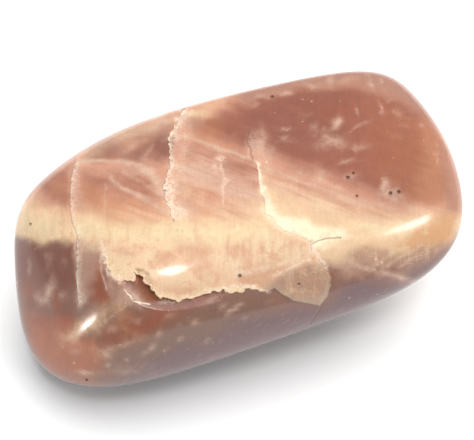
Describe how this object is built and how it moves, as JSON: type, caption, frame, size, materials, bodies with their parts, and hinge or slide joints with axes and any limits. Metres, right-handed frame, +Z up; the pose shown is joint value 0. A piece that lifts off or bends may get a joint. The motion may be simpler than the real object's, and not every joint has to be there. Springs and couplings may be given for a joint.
{
  "type": "tumbled moonstone",
  "caption": "Tumble-polished pink-peach moonstone: a rounded, oblong pebble with a cream sheen band, fine cracks and a chipped ledge.",
  "frame": {"origin": "on the surface the stone rests on, under the middle of its length and width", "axes": "+X along the stone's length towards its thick end, +Y towards the steep back side, +Z up; the side with the chips faces -Y"},
  "size_m": [0.0338, 0.019, 0.0134],
  "materials": {
    "moonstone": "high tumble polish on translucent peach feldspar, broken by fine cracks and a matt chip"
  },
  "bodies": {
    "root": {"moonstone": "moonstone"}
  },
  "joints": []
}
